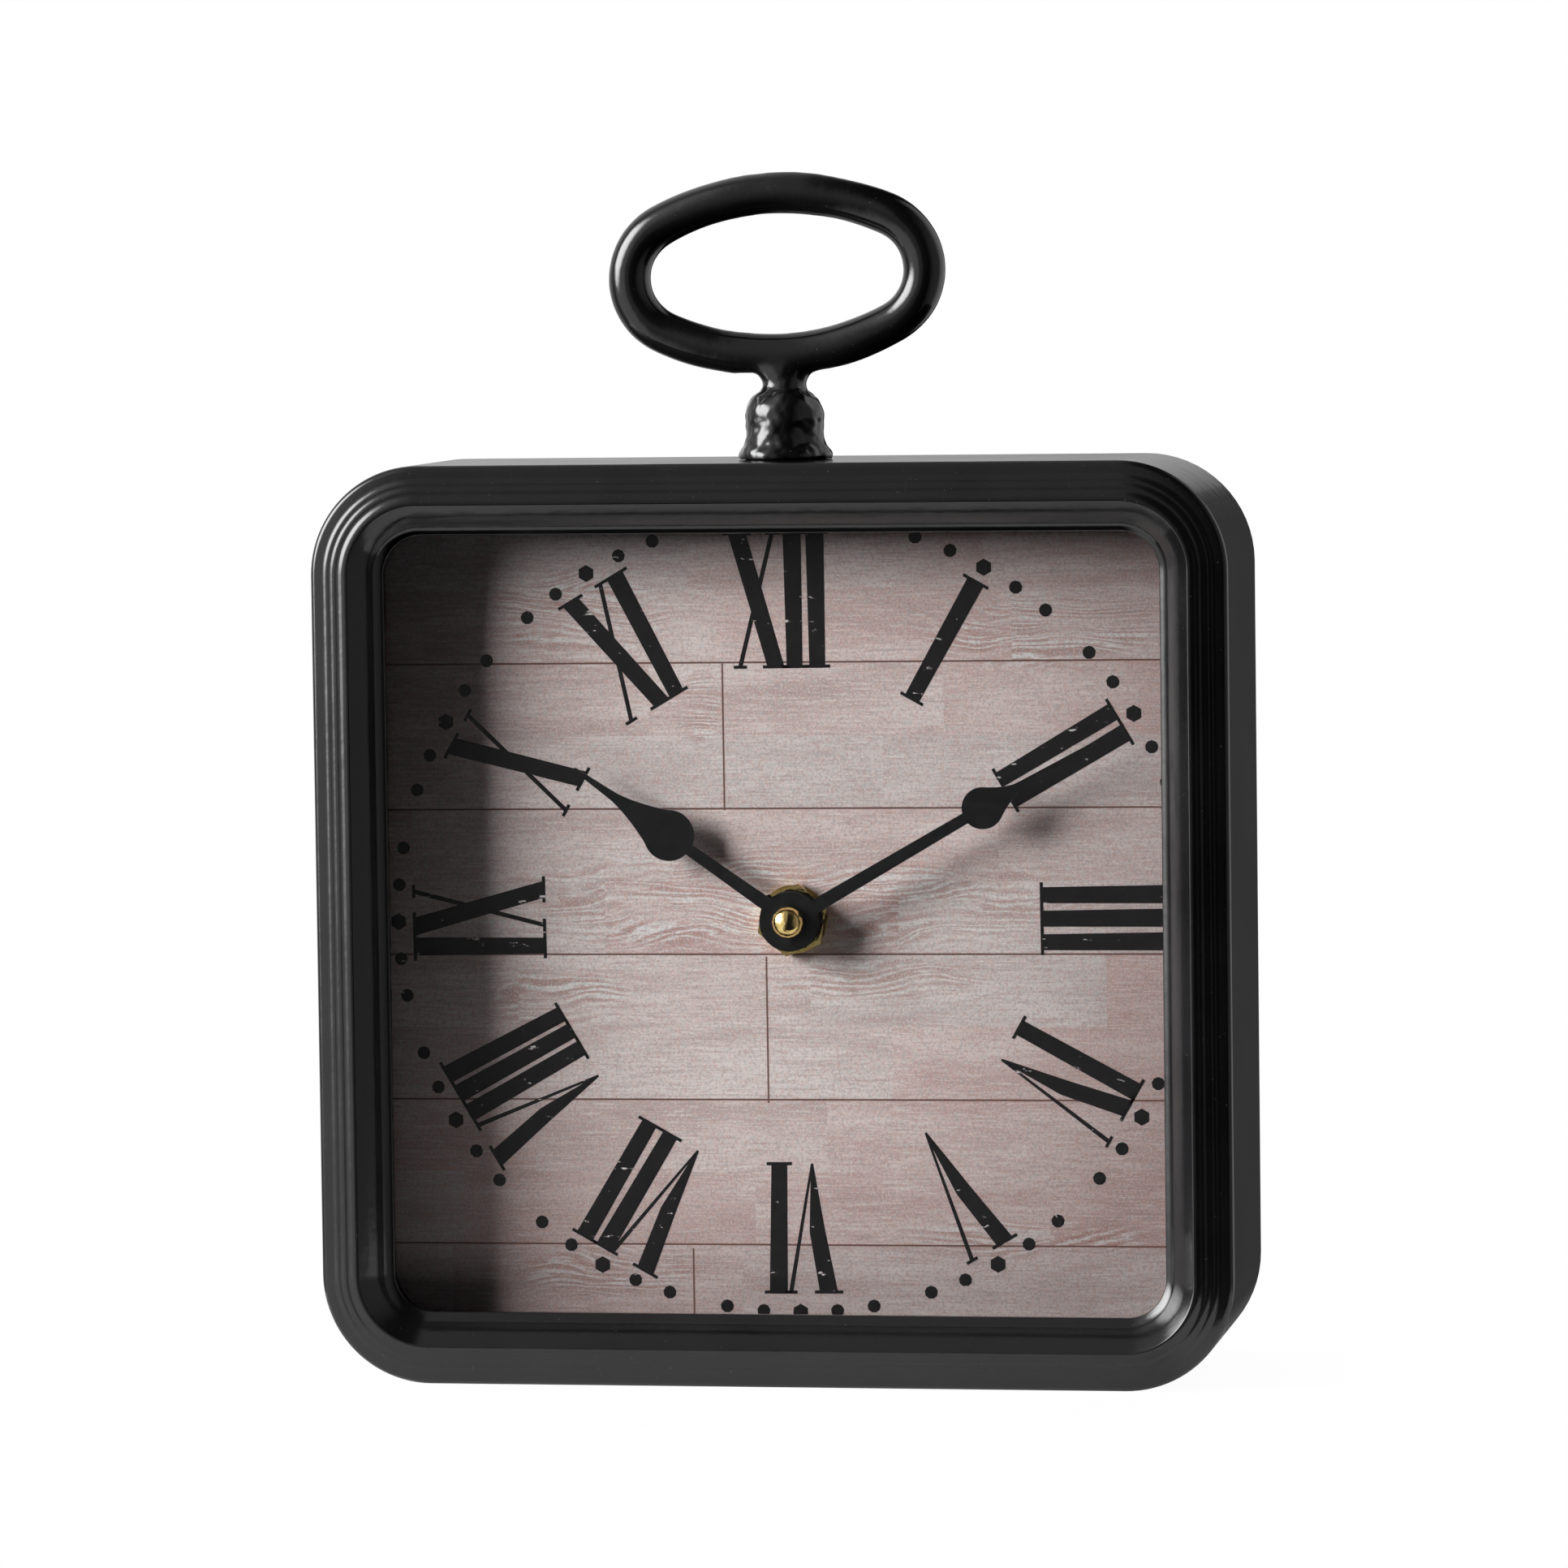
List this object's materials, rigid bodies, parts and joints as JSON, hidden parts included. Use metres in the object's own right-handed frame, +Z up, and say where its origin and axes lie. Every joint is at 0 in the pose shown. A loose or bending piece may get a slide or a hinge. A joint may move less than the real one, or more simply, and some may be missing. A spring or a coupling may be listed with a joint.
{
  "type": "table clock",
  "caption": "Square black enamelled table clock with a stepped bezel, oval ring handle, pear hands, plank-print dial with Roman numerals and a battery quartz movement.",
  "frame": {"origin": "centre of the bounding box at the foot of the case", "axes": "+Z up, +Y towards the back, +X to the right when seen from the front"},
  "size_m": [0.16, 0.045, 0.2102],
  "materials": {
    "black_enamel": "gloss enamel",
    "clear_glass": "polished",
    "black_plastic": "matt moulding",
    "dial_paper": "matt print",
    "fibreboard": "raw board",
    "zinc_steel": "zinc plated",
    "brass": "turned",
    "black_hands": "matt black paint",
    "gear_plastic": "moulded",
    "soft_rubber": "matt",
    "battery_skin": "printed sleeve",
    "circuit_laminate": "laminate",
    "epoxy_black": "epoxy",
    "bright_can": "bright",
    "bobbin_plastic": "moulded",
    "copper_wire": "enamelled copper",
    "ferrite": "sintered"
  },
  "bodies": {
    "case_body": {"front_bezel": "black_enamel", "case_band": "black_enamel", "ring_handle": "black_enamel", "handle_collar": "black_enamel", "back_cover": "black_enamel", "glass_pane": "clear_glass", "spacer_frame": "black_plastic", "movement_front_case": "black_plastic", "movement_back_case": "black_plastic", "dial_print": "dial_paper", "dial_board": "fibreboard", "dial_brackets": "zinc_steel", "dial_board_screws": "zinc_steel", "cover_lugs": "zinc_steel", "back_cover_screws": "zinc_steel", "handle_washer": "zinc_steel", "handle_nut": "zinc_steel", "positive_contact": "zinc_steel", "negative_contact": "zinc_steel", "coil_core": "zinc_steel", "stator_plate": "zinc_steel", "threaded_bush": "brass", "dial_washer": "brass", "fixing_nut": "brass", "gear_bridge": "gear_plastic", "rubber_washer": "soft_rubber", "circuit_board": "circuit_laminate", "timing_chip": "epoxy_black", "quartz_crystal": "bright_can", "coil_bobbin": "bobbin_plastic", "coil_winding": "copper_wire"},
    "minute_hand_set": {"minute_arbor": "brass", "minute_hand": "black_hands", "hand_nut": "brass", "friction_spring": "zinc_steel"},
    "hour_hand_set": {"hour_wheel": "gear_plastic", "hour_hand": "black_hands", "hour_hand_collet": "brass"},
    "setting_set": {"minute_wheel": "gear_plastic", "setting_knob": "black_plastic"},
    "centre_wheel_body": {"centre_wheel": "gear_plastic"},
    "third_wheel_body": {"third_wheel": "gear_plastic"},
    "seconds_wheel_body": {"seconds_wheel": "gear_plastic"},
    "fifth_wheel_body": {"fifth_wheel": "gear_plastic"},
    "rotor_body": {"rotor_magnet": "ferrite", "rotor_pinion": "gear_plastic"},
    "battery_body": {"battery_cell": "battery_skin"}
  },
  "joints": [
    {"name": "minute_hand_turn", "type": "hinge", "parent": "case_body", "child": "minute_hand_set", "pos_m": [0.0016, 0.01, 0.08], "axis": [0, 1, 0], "continuous": true},
    {"name": "hour_hand_turn", "type": "hinge", "parent": "case_body", "child": "hour_hand_set", "pos_m": [0.0016, 0.01, 0.08], "axis": [0, 1, 0], "continuous": true},
    {"name": "setting_knob_turn", "type": "hinge", "parent": "case_body", "child": "setting_set", "pos_m": [-0.0104, 0.01, 0.08], "axis": [0, 1, 0], "continuous": true},
    {"name": "seconds_wheel_turn", "type": "hinge", "parent": "case_body", "child": "seconds_wheel_body", "pos_m": [0.01848, 0.01, 0.09195], "axis": [0, 1, 0], "continuous": true},
    {"name": "third_wheel_turn", "type": "hinge", "parent": "case_body", "child": "third_wheel_body", "pos_m": [0.00924, 0.01, 0.08764], "axis": [0, 1, 0], "continuous": true},
    {"name": "centre_wheel_turn", "type": "hinge", "parent": "case_body", "child": "centre_wheel_body", "pos_m": [0.0016, 0.01, 0.08], "axis": [0, 1, 0], "continuous": true},
    {"name": "fifth_wheel_turn", "type": "hinge", "parent": "case_body", "child": "fifth_wheel_body", "pos_m": [0.01331, 0.01, 0.09857], "axis": [0, 1, 0], "continuous": true},
    {"name": "rotor_turn", "type": "hinge", "parent": "case_body", "child": "rotor_body", "pos_m": [0.00635, 0.01, 0.10043], "axis": [0, 1, 0], "continuous": true},
    {"name": "battery_removal", "type": "slide", "parent": "case_body", "child": "battery_body", "axis": [0, 1, 0], "range_m": [0, 0.03]}
  ],
  "couplings": [
    {"joint": "hour_hand_turn", "follows": "minute_hand_turn", "ratio": 0.083333},
    {"joint": "setting_knob_turn", "follows": "minute_hand_turn", "ratio": -0.33333},
    {"joint": "third_wheel_turn", "follows": "seconds_wheel_turn", "ratio": -0.13333},
    {"joint": "centre_wheel_turn", "follows": "seconds_wheel_turn", "ratio": 0.016667},
    {"joint": "fifth_wheel_turn", "follows": "seconds_wheel_turn", "ratio": -6},
    {"joint": "rotor_turn", "follows": "seconds_wheel_turn", "ratio": 30}
  ]
}
